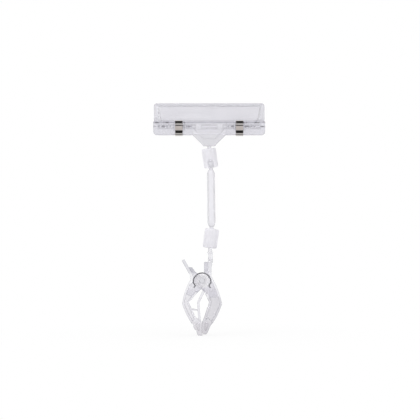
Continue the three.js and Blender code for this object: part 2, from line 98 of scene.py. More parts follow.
# gives the node's outputs; a plain value is set on the socket itself
def newNode(tree, kind, inputs=None, **settings):
    node = tree.nodes.new("ShaderNode" + kind)
    for name, value in settings.items():
        setattr(node, name, value)
    for place, value in (inputs or {}).items():
        socket = node.inputs[place]
        if isinstance(value, bpy.types.NodeSocket):
            tree.links.new(value, socket)
        elif value is not None:
            socket.default_value = (*value, 1) if socket.type == "RGBA" else value
    return node.outputs


def mathNode(tree, operation, *values, clamp=False):
    inputs = dict(enumerate(values))
    return newNode(tree, "Math", inputs, operation=operation, use_clamp=clamp)[0]


def awayNode(tree, place, middle):  # how far a place is from the middle
    return mathNode(tree, "ABSOLUTE", mathNode(tree, "SUBTRACT", place, middle))


def grey(level):
    return (level, level, level)


def rampNode(tree, factor, stops):  # a stop is a colour or a grey level
    ramped = newNode(tree, "ValToRGB", {0: factor})[0]
    elements = ramped.node.color_ramp.elements
    while len(elements) < len(stops):
        elements.new(0.5)
    for element, (place, colour) in zip(elements, stops):
        element.position = place
        element.color = (*(colour if isinstance(colour, tuple) else grey(colour)), 1)
    return ramped


def fadeNode(tree, factor, first, second, start=0.3, end=0.7):
    return rampNode(tree, factor, [(start, first), (end, second)])


def placeNode(tree):
    return newNode(tree, "TexCoord")["Object"]


def splitPlace(tree):
    return newNode(tree, "SeparateXYZ", {0: placeNode(tree)})


def grainNode(tree, scale, detail, stretch=(1, 1, 1)):
    mapped = newNode(tree, "Mapping", {"Vector": placeNode(tree), "Scale": stretch})[0]
    inputs = {"Vector": mapped, "Scale": scale, "Detail": detail}
    return newNode(tree, "TexNoise", inputs)["Fac"]


def bumpNode(tree, height, strength, distance, before=None):
    inputs = {"Height": height, "Strength": strength, "Distance": distance, "Normal": before}
    return newNode(tree, "Bump", inputs)[0]


def mixNode(tree, share, first, second):
    return newNode(tree, "MixShader", {0: share, 1: first[0], 2: second[0]})


def surfaceNode(tree, shader, kind="OutputMaterial"):
    newNode(tree, kind, {"Surface": shader[0]})


def blendNode(tree, share, first, second, kind="MIX"):
    inputs = {0: share, 6: first, 7: second}
    return newNode(tree, "Mix", inputs, data_type="RGBA", blend_type=kind)[2]


def timesNodes(tree, colours, shade, share=1):  # each colour times shade, by a share
    return [blendNode(tree, share, colour, shade, "MULTIPLY") for colour in colours]


def heightNode(tree, start, end, most=1, kind="LINEAR"):  # nothing at start, the most at end
    inputs = {"From Min": start, "From Max": end, "To Max": most, "Value": splitPlace(tree)["Z"]}
    return newNode(tree, "MapRange", inputs, interpolation_type=kind)[0]


def heightShadeNode(tree, heightShades):  # painted shade by height: shades, each with the heights it holds at
    stops = [(height, shade) for shade, *heights in heightShades for height in heights]
    low, high = stops[0][0], stops[-1][0]
    stops = [((height - low) / (high - low), shade) for height, shade in stops]
    return rampNode(tree, heightNode(tree, low, high), stops)


def shadeLineNode(tree, shadeLine):  # painted shade: a broken dark line at one height, clear round the middle
    x, _, z = splitPlace(tree)
    off = mathNode(tree, "DIVIDE", awayNode(tree, z, shadeLine["height"]), shadeLine["half"])
    band = mathNode(tree, "SUBTRACT", 1, off)
    band = mathNode(tree, "MULTIPLY", band, shadeLine["steep"], clamp=True)
    alongX = grainNode(tree, shadeLine["dashes"], 2, (1, 0, 0))
    dash = rampNode(tree, alongX, shadeLine["breaks"])
    shown = mathNode(tree, "GREATER_THAN", awayNode(tree, x, shadeLine["middle"]), shadeLine["clear"])
    return mathNode(tree, "MULTIPLY", mathNode(tree, "MULTIPLY", band, dash), shown)


def plugNode(tree, plug):  # full within a radius of an axis along Y
    x, _, z = splitPlace(tree)
    out, up = awayNode(tree, x, plug["x"]), awayNode(tree, z, plug["z"])
    square = mathNode(tree, "MULTIPLY_ADD", out, out, mathNode(tree, "MULTIPLY", up, up))
    return mathNode(tree, "LESS_THAN", mathNode(tree, "SQRT", square), plug["radius"])


def edgeNode(tree, edge):  # full on edges, nothing on flat faces
    soft = newNode(tree, "Bevel", {"Radius": edge["width"]}, samples=edge["samples"])
    inputs = {0: soft[0], 1: newNode(tree, "NewGeometry")["Normal"]}
    along = newNode(tree, "VectorMath", inputs, operation="DOT_PRODUCT")["Value"]
    off = mathNode(tree, "SUBTRACT", 1, along)
    return mathNode(tree, "MULTIPLY", off, edge["gain"], clamp=True)


# painted light and shade laid on the clear plastic's colours
paintedMarkNodes = {"shadeLine": shadeLineNode, "plug": plugNode, "edge": edgeNode}


# clear moulded plastic: a faint lavender tint, a thin milky veil on the skin,
# soft flow lines and a slightly uneven surface, with painted light and shade laid on its colours
clearFinish = {
    "flow": 260, "flowDetail": 3, "flowBump": (0.02, 0.0001), "cloud": 55, "cloudDetail": 2,
    "cloudBump": (0.02, 0.0002), "colourSpan": (0.32, 0.68), "roughSpan": (0.3, 0.75),
    "ior": 1.45, "veilRough": 0.3, "veilGlow": 0.4, "veilThin": 0.85, "veilThick": 1.15,
}


def clearPlastic(name, tintAndShade):
    c = clearFinish
    material, tree = newMaterial(name)
    flow = grainNode(tree, c["flow"], c["flowDetail"], tintAndShade["streak"])
    cloud = grainNode(tree, c["cloud"], c["cloudDetail"])
    colours = [
        fadeNode(tree, flow, tintAndShade["deep"], tintAndShade["pale"], *c["colourSpan"]),
        fadeNode(tree, cloud, tintAndShade["veilDeep"], tintAndShade["veilPale"]),
    ]
    # painted shade by height on both colours
    colours = timesNodes(tree, colours, heightShadeNode(tree, tintAndShade["heightShades"]))
    # painted light and shade: dark lines, darker edges and lighter or darker round patches
    for paintedMark in tintAndShade["paintedMarks"]:
        share = paintedMarkNodes[paintedMark["kind"]](tree, paintedMark)
        colours = timesNodes(tree, colours, paintedMark["shade"], share)
    colour, milk = colours
    rough = fadeNode(tree, flow, tintAndShade["smooth"], tintAndShade["dull"], *c["roughSpan"])
    skin = bumpNode(tree, flow, *c["flowBump"], bumpNode(tree, cloud, *c["cloudBump"]))
    glass = newNode(tree, "BsdfPrincipled", {
        "Base Color": colour, "Roughness": rough, "Normal": skin, "IOR": c["ior"],
        "Transmission Weight": 1,
    })
    clear = newNode(tree, "BsdfTransparent", {"Color": colour})
    body = mixNode(tree, tintAndShade["straight"], glass, clear)
    inputs = {"Base Color": milk, "Roughness": c["veilRough"], "Normal": skin}
    matt = newNode(tree, "BsdfPrincipled", inputs)
    glow = newNode(tree, "BsdfTranslucent", {"Color": milk})
    veil = mixNode(tree, c["veilGlow"], matt, glow)
    share = fadeNode(tree, cloud, tintAndShade["veil"] * c["veilThin"], tintAndShade["veil"] * c["veilThick"])
    for start, end, extra in tintAndShade["haze"]:
        haze = heightNode(tree, start, end, extra, "SMOOTHSTEP")
        share = mathNode(tree, "ADD", share, haze)
    inside = newNode(tree, "NewGeometry")["Backfacing"]  # no veil on the inner side
    share = mathNode(tree, "MULTIPLY", share, mathNode(tree, "SUBTRACT", 1, inside))
    surfaceNode(tree, mixNode(tree, share, body, veil))
    return material


plain = grey(1)
paintedEdgeShade = {  # painted shade: edges darkened, where clear plastic refracts darker
    "kind": "edge", "width": 0.0007, "samples": 4, "gain": 3, "shade": (0.74, 0.74, 0.76),
}
# painted shade: dark lines along the ledge and the fulcrum beads, where the clear plastic lies in
# shade
clipShadeLine = {"kind": "shadeLine", "middle": 0.0051, "steep": 1.5}
ledgeShadeLine = {
    **clipShadeLine, "height": 0.14843, "half": 0.0005, "shade": (0.96, 0.957, 0.962),
    "dashes": 110, "breaks": [(0.45, 0), (0.53, 1)], "clear": 0,
}
ledgeShadeDashes = {
    **ledgeShadeLine, "shade": (0.58, 0.575, 0.59),
    "dashes": 290, "breaks": [(0.5, 0), (0.54, 0.9), (0.6, 1)], "clear": 0.0165,
}
fulcrumShadeDashes = {
    **clipShadeLine, "height": 0.14563, "half": 0.0006, "shade": (0.66, 0.655, 0.67),
    "dashes": 260, "breaks": [(0.46, 0), (0.52, 0.7), (0.6, 1)], "clear": 0.0125,
}
handleShadeBand = {  # painted shade over the handles, unbroken
    **clipShadeLine, "height": 0.1438, "half": 0.0047, "steep": 8, "shade": (0.985, 0.985, 0.988),
    "dashes": 100, "breaks": [(0, 1), (1, 1)], "clear": 0.0121,
}
jawTintAndShade = {
    "deep": (0.93, 0.927, 0.946), "pale": (0.957, 0.954, 0.97),
    "veilDeep": (0.86, 0.855, 0.895), "veilPale": (0.92, 0.915, 0.95),
    "veil": 0.18, "straight": 0.6, "smooth": 0.02, "dull": 0.06, "streak": (0.3, 1, 1),
    "haze": [(0.1405, 0.1385, 0.2)],
    # painted shade by height: darker round the lug's foot, at the ledge and in the top band
    "heightShades": [
        (plain, 0.12, 0.1305), ((0.9, 0.898, 0.905), 0.1312, 0.1385),
        (plain, 0.1398, 0.1481), ((0.95, 0.95, 0.955), 0.1485),
        (plain, 0.1522, 0.1602), (grey(0.99), 0.1606, 0.163),
    ],
    "paintedMarks": [ledgeShadeLine, ledgeShadeDashes, fulcrumShadeDashes, handleShadeBand, paintedEdgeShade],
}
rodTintAndShade = {
    "deep": (0.945, 0.94, 0.97), "pale": (0.97, 0.967, 0.985),
    "veilDeep": (0.95, 0.944, 0.975), "veilPale": (0.98, 0.975, 0.995),
    "veil": 0.48, "straight": 0.3, "smooth": 0.1, "dull": 0.18, "streak": (1, 1, 0.2),
    "haze": [(0.0735, 0.0705, 0.8), (0.1140, 0.1170, 0.8)],
    # painted shade by height: the rod's middle darker than its ends
    "heightShades": [(plain, 0.0685), ((0.97, 0.968, 0.98), 0.0725, 0.1145), (plain, 0.1185)],
    "paintedMarks": [],
}
discPaintedLight = {  # painted light: lighter round the pivot, where the cheeks overlap
    "kind": "plug", "x": 0, "z": 0.0343, "radius": 0.0054, "shade": (1.028, 1.028, 1.018),
}
# painted shade: darker on the trunnion's end, which light passes straight through
trunnionPaintedShade = {**discPaintedLight, "radius": 0.00195, "shade": (0.84, 0.84, 0.86)}
armTintAndShade = {
    "deep": (0.905, 0.901, 0.924), "pale": (0.97, 0.967, 0.981),
    "veilDeep": (0.88, 0.875, 0.91), "veilPale": (0.95, 0.945, 0.975),
    "veil": 0.16, "straight": 0.62, "smooth": 0.03, "dull": 0.09, "streak": (1, 1, 0.16),
    "haze": [(0.039, 0.041, 0.12)],
    # painted shade by height: darkest at the tip, lightest round the pivot, a little darker above
    # it
    "heightShades": [
        ((0.85, 0.84, 0.85), -0.0052, 0.003), ((0.89, 0.885, 0.895), 0.006, 0.0213),
        ((0.965, 0.963, 0.968), 0.0224, 0.0275), (plain, 0.0298, 0.0385),
        ((0.96, 0.96, 0.965), 0.0405, 0.0476), (plain, 0.0485, 0.065),
    ],
    "paintedMarks": [discPaintedLight, paintedEdgeShade],
}
leverTintAndShade = {
    **armTintAndShade, "deep": (0.945, 0.942, 0.962), "pale": (0.972, 0.97, 0.98), "veil": 0.15, "haze": [],
    # painted shade by height: darkest at the tip and on the lever above the pivot
    "heightShades": [
        ((0.88, 0.87, 0.88), -0.0062, 0.003), ((0.95, 0.945, 0.955), 0.006, 0.0217),
        ((0.97, 0.968, 0.975), 0.0228), ((0.972, 0.97, 0.977), 0.0275),
        (plain, 0.0298, 0.0385), ((0.9, 0.9, 0.91), 0.0405, 0.05),
    ],
    "paintedMarks": [discPaintedLight, trunnionPaintedShade, paintedEdgeShade],
}
jawPlastic = clearPlastic("jawPlastic", jawTintAndShade)
rodPlastic = clearPlastic("rodPlastic", rodTintAndShade)
armPlastic = clearPlastic("armPlastic", armTintAndShade)
leverPlastic = clearPlastic("leverPlastic", leverTintAndShade)


# milky sleeve plastic: satin, and light shines through its wall
sleeveFinish = {
    "deep": (0.945, 0.939, 0.966), "pale": (0.962, 0.957, 0.979), "smooth": 0.36, "dull": 0.46,
    "ior": 1.46, "glow": 0.5, "cloud": 160, "cloudDetail": 4, "cloudBump": (0.15, 0.0002),
    "fine": 2600, "fineDetail": 2, "fineBump": (0.1, 0.00005),
}


def milkyPlastic(name, milk):
    material, tree = newMaterial(name)
    cloud = grainNode(tree, milk["cloud"], milk["cloudDetail"])
    fine = grainNode(tree, milk["fine"], milk["fineDetail"])
    colour = fadeNode(tree, cloud, milk["deep"], milk["pale"])
    rough = fadeNode(tree, cloud, milk["smooth"], milk["dull"])
    skin = bumpNode(tree, fine, *milk["fineBump"], bumpNode(tree, cloud, *milk["cloudBump"]))
    satin = newNode(tree, "BsdfPrincipled", {
        "Base Color": colour, "Roughness": rough, "Normal": skin, "IOR": milk["ior"],
    })
    glow = newNode(tree, "BsdfTranslucent", {"Color": colour})
    surfaceNode(tree, mixNode(tree, milk["glow"], satin, glow))
    return material


# spring steel: drawn lines along the metal and a duller film in patches
stripFinish = {
    "deep": (0.72, 0.68, 0.66), "bright": (0.8, 0.77, 0.75), "smooth": 0.07, "dull": 0.13,
    "drawn": 700, "drawnDetail": 4, "stretch": (1, 0.05, 0.05), "bump": (0.12, 0.00003),
    "film": 220, "filmDetail": 3,
}
wireFinish = {
    **stripFinish, "deep": (0.13, 0.13, 0.14), "bright": (0.2, 0.2, 0.21), "smooth": 0.28,
    "dull": 0.42, "stretch": (0.2, 1, 0.2),
}


def springSteel(name, steel):
    material, tree = newMaterial(name)
    drawn = grainNode(tree, steel["drawn"], steel["drawnDetail"], steel["stretch"])
    film = grainNode(tree, steel["film"], steel["filmDetail"])
    metal = newNode(tree, "BsdfPrincipled", {
        "Base Color": fadeNode(tree, film, steel["deep"], steel["bright"]),
        "Roughness": fadeNode(tree, drawn, steel["smooth"], steel["dull"]),
        "Normal": bumpNode(tree, drawn, *steel["bump"]), "Metallic": 1,
    })
    surfaceNode(tree, metal)
    return material


sleevePlastic = milkyPlastic("sleevePlastic", sleeveFinish)
stripSteel = springSteel("stripSteel", stripFinish)
wireSteel = springSteel("wireSteel", wireFinish)
print("materials: made")


# outlines, in millimetres
def at(x, z):
    return Vector((x, z))


def polar(reach, angle):
    return at(reach * math.cos(angle), reach * math.sin(angle))


def roundAngles(count):
    return [2 * math.pi * i / count for i in range(count)]


def circle(radius, x=0.0, z=0.0, count=48):
    return [polar(radius, angle) + at(x, z) for angle in roundAngles(count)]


def arc(x, z, radius, start, end, count=6):
    return [polar(radius, start + (end - start) * i / count) + at(x, z) for i in range(count + 1)]


def quarterTurn(count):  # how far in and how far along, step by step round a quarter
    turns = [quarter * i / count for i in range(count + 1)]
    return [(1 - math.sin(turn), 1 - math.cos(turn)) for turn in turns]


def curve(start, pull, end, count):  # from start to end, drawn towards pull
    steps = [i / count for i in range(count + 1)]
    return [start * (1 - t) ** 2 + pull * 2 * t * (1 - t) + end * t * t for t in steps]


def bowed(start, end, bow, count=12):
    across = end - start
    side = at(-across.y, across.x).normalized()
    return curve(start, (start + end) / 2 + side * 2 * bow, end, count)


def mirrored(points):  # the same line on the other side, run backwards
    return [at(-p.x, p.y) for p in reversed(points)]


def anticlockwise(points):
    twice = sum(a.x * b.y - b.x * a.y for a, b in zip(points, points[1:] + points[:1]))
    return list(points) if twice > 0 else list(reversed(points))


def aside(points, distance, closed=False):  # moved to the left of the line's direction
    made = []
    last = len(points) - 1
    for i, point in enumerate(points):
        before = points[i - 1] if i or closed else point * 2 - points[1]
        after = points[(i + 1) % len(points)] if i < last or closed else point * 2 - points[i - 1]
        into, out = (point - before).normalized(), (after - point).normalized()
        middle = (into + out).normalized()
        reach = distance / max(0.3, middle.dot(into))  # sharp corners are held back
        made.append(at(point.x - middle.y * reach, point.y + middle.x * reach))
    return made


def strip(points, left, right):
    return aside(points, left) + list(reversed(aside(points, right)))


def wallOn(points, wall):
    return strip(points, wall / 2, -wall / 2)


def plate(half, foot, top, footCorner, topCorner):
    right = arc(half - footCorner, foot + footCorner, footCorner, -quarter, 0)
    right += arc(half - topCorner, top - topCorner, topCorner, 0, quarter)
    return right + mirrored(right)


def softened(points, radius, count=3):  # each corner of the outline rounded
    made = []
    for i, point in enumerate(points):
        into, out = point - points[i - 1], points[(i + 1) % len(points)] - point
        reach = min(radius, into.length * 0.4, out.length * 0.4)
        start = point - into.normalized() * reach
        made += curve(start, point, point + out.normalized() * reach, count)
    return made


# solids, given in millimetres and made in metres
weld = {"exact": 1e-7, "close": 2e-6, "sliver": 1e-6, "level": math.radians(0.3), "hull": 0.01}
shading = {"crease": 32, "flatWeight": 80}


def fromForm(form, mesh):
    bmesh.ops.recalc_face_normals(form, faces=form.faces)
    form.to_mesh(mesh)
    form.free()
    made = bpy.data.objects.new("solid", mesh)
    scene.collection.objects.link(made)
    return made


def solid(verts, faces):
    mesh = bpy.data.meshes.new("solid")
    mesh.from_pydata([Vector(v) * mm for v in verts], [], faces)
    form = bmesh.new()
    form.from_mesh(mesh)
    bmesh.ops.remove_doubles(form, verts=form.verts, dist=weld["exact"])
    return fromForm(form, mesh)


def hull(points, edge):
    form = bmesh.new()
    for point in points:
        form.verts.new(Vector(point) * mm)
    result = bmesh.ops.convex_hull(form, input=form.verts)
    loose = [v for v in result["geom_interior"] if isinstance(v, bmesh.types.BMVert)]
    bmesh.ops.delete(form, geom=loose, context="VERTS")
    bmesh.ops.dissolve_limit(form, angle_limit=weld["hull"], verts=form.verts, edges=form.edges)
    bmesh.ops.bevel(
        form, geom=list(form.edges), offset=edge * mm, segments=3, profile=0.5,
        affect="EDGES", clamp_overlap=True,
    )
    return fromForm(form, bpy.data.meshes.new("hull"))


def loft(rings):
    count = len(rings[0])
    faces = []
    for i in range(len(rings) - 1):
        for j in range(count):
            a, b = i * count + j, i * count + (j + 1) % count
            faces.append((a, b, b + count, a + count))
    faces.append(tuple(range(count - 1, -1, -1)))
    faces.append(tuple(range((len(rings) - 1) * count, len(rings) * count)))
    return solid([v for ring in rings for v in ring], faces)


# an outline drawn out along Y (or X) with its two rims rounded
def slab(points, low, high, edge=0.2, steps=2, along="y"):
    outline = anticlockwise(points)
    near, far = [], []
    for inset, back in quarterTurn(steps):
        ring = aside(outline, edge * inset, closed=True)
        for rings, depth in ((near, low + edge * back), (far, high - edge * back)):
            rings.append([(p.x, depth, p.y) if along == "y" else (depth, p.x, p.y) for p in ring])
    return loft(near + list(reversed(far)))


def pairOfSlabs(points, depth, wall, edge):
    outer, inner = depth / 2, depth / 2 - wall
    return [slab(points, inner, outer, edge), slab(points, -outer, -inner, edge)]


def through(points, depth, edge):
    return slab(points, -depth / 2, depth / 2, edge)


def turned(profile, count=64, closed=False):  # radius and height, turned about Z
    verts, rows = [], []
    for point in profile:
        first = len(verts)
        if point.x < weld["sliver"]:  # on the axis
            verts.append((0, 0, point.y))
            rows.append([first] * count)
        else:
            verts += [(*polar(point.x, angle), point.y) for angle in roundAngles(count)]
            rows.append(list(range(first, first + count)))
    if closed:
        rows.append(rows[0])
    faces = []
    for foot, head in zip(rows, rows[1:]):
        for j in range(count):
            n = (j + 1) % count
            faces.append(tuple(dict.fromkeys((foot[j], foot[n], head[n], head[j]))))
    return solid(verts, faces)


# joins or cuts a solid with others, which are used up
def combined(base, others, operation):
    group = bpy.data.collections.new("others")
    for other in others:
        group.objects.link(other)
    modifier = base.modifiers.new("combined", "BOOLEAN")
    modifier.operation = operation
    modifier.solver = "MANIFOLD"
    modifier.operand_type = "COLLECTION"
    modifier.collection = group
    bpy.context.view_layer.update()
    shown = base.evaluated_get(bpy.context.evaluated_depsgraph_get())
    result = bpy.data.meshes.new_from_object(shown)
    base.modifiers.clear()
    spent = [base.data] + [other.data for other in others]
    base.data = result
    for other in others:
        bpy.data.objects.remove(other)
    for mesh in spent:
        bpy.data.meshes.remove(mesh)
    bpy.data.collections.remove(group)
    return base


def joined(solids):
    return combined(solids[0], solids[1:], "UNION")


def cut(base, others):
    return combined(base, others, "DIFFERENCE")


def kept(base, other):
    return combined(base, [other], "INTERSECT")


def placed(made, offset=(0, 0, 0), turns=()):
    mesh = made.data
    for axis, angle in turns:
        c, s = math.cos(angle), math.sin(angle)
        i, j = {"x": (1, 2), "y": (2, 0), "z": (0, 1)}[axis]
        for v in mesh.vertices:
            a, b = v.co[i], v.co[j]
            v.co[i], v.co[j] = a * c - b * s, a * s + b * c
    for v in mesh.vertices:
        v.co += Vector(offset) * mm
    mesh.update()
    return made


def finished(made, name, material, node, crease=shading["crease"]):
    mesh = made.data
    form = bmesh.new()
    form.from_mesh(mesh)
    bmesh.ops.remove_doubles(form, verts=form.verts, dist=weld["close"])
    bmesh.ops.dissolve_degenerate(form, dist=weld["sliver"], edges=form.edges)
    bmesh.ops.dissolve_limit(form, angle_limit=weld["level"], verts=form.verts, edges=form.edges)
    bmesh.ops.recalc_face_normals(form, faces=form.faces)
    for face in form.faces:
        face.smooth = True
        face.material_index = 0
    form.to_mesh(mesh)
    form.free()
    mesh.set_sharp_from_angle(angle=math.radians(crease))
    flat = made.modifiers.new("flatFaces", "WEIGHTED_NORMAL")
    flat.keep_sharp = True
    flat.weight = shading["flatWeight"]
    mesh.materials.clear()
    mesh.materials.append(material)
    made.name = mesh.name = name
    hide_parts(node)
    print("piece:", name, len(mesh.polygons), "faces")


# ball joints
ballSizes = {"ball": 3.4, "neck": 1.5, "flare": 0.25}
sleeveSizes = {
    "clearance": 0.3, "lipAngle": math.radians(50), "lipDepth": 0.6, "seatWall": 0.5,
    "wall": 1.4, "edge": 1.1, "bore": 1.8, "lipRim": [(-0.05, -0.2), (0.12, 0)],
    "slotPlay": 0.3, "slotArch": 0.1,
    "slotFlare": [  # depth, and how much wider the slot is there
        (0, 0), (3.3, 0), (3.7, 0.22), (4.1, 0.5), (4.5, 0.86), (4.9, 1.35), (6.3, 3.2),
    ],
    "lowerLean": math.radians(8), "upperLean": math.radians(-8.4),
}
chain = {joint["name"]: Vector(joint["pos_m"]) / mm for joint in frame["joints"]}
stemBall = chain["stem_ball_lean"]
rodFoot = chain["rod_foot_fold"]
rodHead = chain["rod_head_nod"]
lugBall = chain["clip_swivel"]
pivot = chain["lever_squeeze"]
fulcrum = chain["jaw_squeeze"]


def ballArc():  # radius and height, from the neck over the ball
    ball = ballSizes["ball"]
    return arc(0, 0, ball, math.asin(ballSizes["neck"] / ball) - quarter, quarter, 24)


def studProfile(length):  # from the neck's root up over the ball
    neck, flare = ballSizes["neck"], ballSizes["flare"]
    root = [at(neck + flare * out, flare * up - length) for out, up in quarterTurn(4)]
    return [at(0, -length)] + root + ballArc()


def ballSleeve():
    s = sleeveSizes
    seatRadius = ballSizes["ball"] + s["clearance"]
    seat = seatRadius + s["seatWall"] / 2
    radius = seatRadius + s["wall"]
    half = seat + seatRadius * math.cos(s["lipAngle"]) + s["lipDepth"]
    bore = math.asin(s["bore"] / seatRadius)
    inner = arc(0, seat, seatRadius, bore - quarter, quarter - s["lipAngle"], 18)
    lip = (half - seat) * math.tan(s["lipAngle"])
    inner += [at(lip + out, half + up) for out, up in s["lipRim"]]
    outer = arc(radius - s["edge"], half - s["edge"], s["edge"], 0, quarter, 8)
    upper = outer + list(reversed(inner))
    lower = [at(p.x, -p.y) for p in reversed(upper)]
    body = turned(lower + upper, 96, closed=True)
    slotHalf = ballSizes["neck"] + s["slotPlay"]
    mouth = [at(slotHalf, half + 1), at(-slotHalf, half + 1)]
    mouth += arc(0, seat - s["slotArch"], slotHalf, math.pi, 2 * math.pi, 24)
    outline = anticlockwise(mouth)
    rings = []
    for depth, grow in s["slotFlare"]:
        rings.append([(depth, p.x, p.y) for p in aside(outline, -grow, closed=True)])
    return cut(body, [loft(rings)])


lowerSleeve = placed(
    ballSleeve(), (stemBall + rodFoot) / 2, [("z", quarter), ("y", sleeveSizes["lowerLean"])]
)
finished(lowerSleeve, "lowerSleeveBody", sleevePlastic, "lower_ball_sleeve", 40)
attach(lowerSleeve, "lower_sleeve")
upperSleeve = placed(
    ballSleeve(), (rodHead + lugBall) / 2,
    [("x", math.pi), ("z", -quarter), ("y", sleeveSizes["upperLean"])],
)
finished(upperSleeve, "upperSleeveBody", sleevePlastic, "upper_ball_sleeve", 40)
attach(upperSleeve, "upper_sleeve")


# six-sided rod, one loft from ball to ball
rodSizes = {
    "reach": 50.2, "across": 5.9, "neck": 4.8, "taper": 2.4, "endAcross": 4.0, "blunt": 0.968,
    "endRim": [(-0.15, 0.05), (0, -0.12)], "root": [(0.02, 1), (0.1, 0.4), (0.25, 0)],
    "lean": math.radians(-0.7),
}


def linkRod(count=96):
    s = rodSizes
    half, wide, narrow = s["reach"] / 2, s["across"] / 2, s["endAcross"] / 2
    end = half - s["neck"]
    neck, flare = ballSizes["neck"], ballSizes["flare"]
    upper = [(0, wide, True), (end - s["taper"], wide, True)]  # height, radius, six-sided or not
    upper += [(end + up, narrow + out, True) for up, out in s["endRim"]]
    upper += [(end + up, neck + flare * share, False) for up, share in s["root"]]
    upper += [(half + p.y, max(0.002, p.x), False) for p in ballArc()]
    lower = [(-z, radius, sixSided) for z, radius, sixSided in reversed(upper[1:])]
    sixth = math.pi / 6
    rings = []
    for z, radius, sixSided in lower + upper:
        ring = []
        for angle in roundAngles(count):
            flat = radius * math.cos(sixth) / math.cos(angle % (2 * sixth) - sixth)
            reach = min(flat, radius * s["blunt"]) if sixSided else radius
            ring.append((*polar(reach, angle), z))
        rings.append(ring)
    return loft(rings)


rodPiece = placed(linkRod(), (rodFoot + rodHead) / 2, [("y", rodSizes["lean"])])
finished(rodPiece, "linkRodBody", rodPlastic, "link_rod", 20)
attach(rodPiece, "rod")


# card clip, measured from its parting plane and its ledge
clipSizes = {
    "half": 40, "jawHeight": 13.9, "jawWall": 1.2, "lipBand": 1.8, "rimWall": 1.0, "rimWidth": 2.0,
    "cardGap": 1.6, "crestStep": 0.9, "ledgeOut": 5.2, "insetTop": 2.3, "insetFoot": 5.0,
    "floorWall": 1.0, "corner": 2.0, "handleHeight": 9.0, "handleWall": 1.6, "handleGap": 3.4,
    "handleCorner": 2.4, "overhang": 0.4, "fulcrumDrop": 2.8, "bead": 1.1, "beadLength": 11,
    "beadPitch": 15.6, "beadCount": 5, "seatLip": 0.5, "clearance": 0.3, "guideWall": 1.0,
    "guideHeight": 0.9, "guideLength": 5.5, "faceInset": 0.35, "rooted": 0.4, "small": 0.3,
    "hollowEdge": 0.5, "rimEdge": 0.25, "lipEdge": 0.12, "beadEdge": 0.25, "grooveEdge": 0.1,
}
lugSizes = {
    "width": 24.2, "below": 8.2, "foot": 9.6, "corner": 0.9, "rim": 3.4, "sole": 5.3,
    "pocketDrop": 4.8, "neck": 4.6, "step": 0.35, "edge": 0.35, "soft": 0.5, "pocketSoft": 0.8,
    "pocketRings": [  # depth, inset, and the fall of the top, which runs out in a long slope
        (-1.0, -0.2, -1.4), (0.0, -0.15, -1.2), (0.25, -0.1, -0.8),
        (0.95, 0.15, 1.2), (1.19, 0.35, 2.0), (1.25, 0.6, 2.4),
    ],
}
stripSizes = {
    "width": 5.4, "sheet": 0.5, "span": 43.8, "grip": 2.1, "flare": 3.2, "belly": 1.5,
    "bend": 3.4, "bendTall": 4.4, "gripFrom": 0.45, "gripTo": 0.3, "edge": 0.12,
    "clearance": 0.3, "blendReach": 2.6,
}
ledge = fulcrum + Vector((0, 0, clipSizes["fulcrumDrop"]))
firstBead = -(clipSizes["beadCount"] - 1) / 2 * clipSizes["beadPitch"]
beadPlaces = [firstBead + i * clipSizes["beadPitch"] for i in range(clipSizes["beadCount"])]


def hipped(base, crest, foot, edge):
    out, back, low, high = base
    corners = [(out, back, low), (out, back, high), crest, (*foot, low)]
    return hull([(side * x, y, z) for side in (-1, 1) for x, y, z in corners], edge)


def jawHalf():
    s = clipSizes
    half, height, wall, small = s["half"], s["jawHeight"], s["jawWall"], s["small"]
    rimFace = s["cardGap"] / 2
    rimBack = rimFace + s["rimWall"]
    crest = height - s["lipBand"]
    crestOut = rimBack + s["crestStep"]
    slope = math.hypot(1, (s["ledgeOut"] - rimBack - s["crestStep"]) / crest)
    face = hipped(
        (half - s["faceInset"], rimBack - s["rooted"], 0, height - small),
        (half - s["insetTop"], crestOut, crest),
        (half - s["insetFoot"], s["ledgeOut"]),
        small,
    )
    hollow = hipped(
        (half - s["rimWidth"], 0, s["floorWall"], crest),
        (half - s["insetTop"] - wall, crestOut - wall * slope, crest - s["rooted"]),
        (half - s["insetFoot"] - wall, s["ledgeOut"] - wall * slope - s["floorWall"] * (slope - 1)),
        s["hollowEdge"],
    )
    rim = slab(plate(half, 0, height, small, s["corner"]), rimFace, rimBack, s["rimEdge"], 3)
    rimCut = slab(plate(half, -0.1, height, small, s["corner"]), 0, s["ledgeOut"] + 1, 0.05, 1)
    lip = plate(half - s["corner"], crest, height - 0.02, small, small)
    lip = slab(lip, s["clearance"] / 2, rimBack - 0.1, s["lipEdge"])
    shell = cut(joined([kept(face, rimCut), rim, lip]), [hollow])
    handleFace = s["handleGap"] / 2
    handleBack = handleFace + s["handleWall"]
    handle = plate(half + s["overhang"], -s["handleHeight"], 0.6, s["handleCorner"], small)
    parts = [shell, slab(handle, handleFace, handleBack, small, 3)]
    rib = plate(s["guideWall"] / 2, -s["guideLength"], 0.2, 0.45, 0.25)
    reach = stripSizes["width"] / 2 + s["clearance"] + s["guideWall"] / 2
    for side in (-1, 1):
        for edge in (-1, 1):
            guide = slab(rib, handleBack - s["rooted"], handleBack + s["guideHeight"])
            parts.append(placed(guide, (side * stripSizes["span"] / 2 + edge * reach, 0, 0)))
    return parts


def fulcrumBlock(start, end, half):  # a four-cornered section round the fulcrum's height
    drop = clipSizes["fulcrumDrop"]
    low, high = -drop - half, -drop + half
    return [at(start, low), at(end, low), at(end, high), at(start, high)]


def fulcrumRound(radius, start, end, edge, steps):
    return slab(circle(radius, 0, -clipSizes["fulcrumDrop"]), start, end, edge, steps, along="x")


def rearJaw():
    s = clipSizes
    neck = fulcrumBlock(0, s["handleGap"] / 2 + s["small"], s["bead"] * 0.8)
    beads = []
    for middle in beadPlaces:
        start, end = middle - s["beadLength"] / 2, middle + s["beadLength"] / 2
        beads.append(fulcrumRound(s["bead"], start, end, s["beadEdge"], 2))
        beads.append(slab(neck, start + 0.02, end - 0.02, s["grooveEdge"], 1, along="x"))
    return joined(jawHalf() + beads)


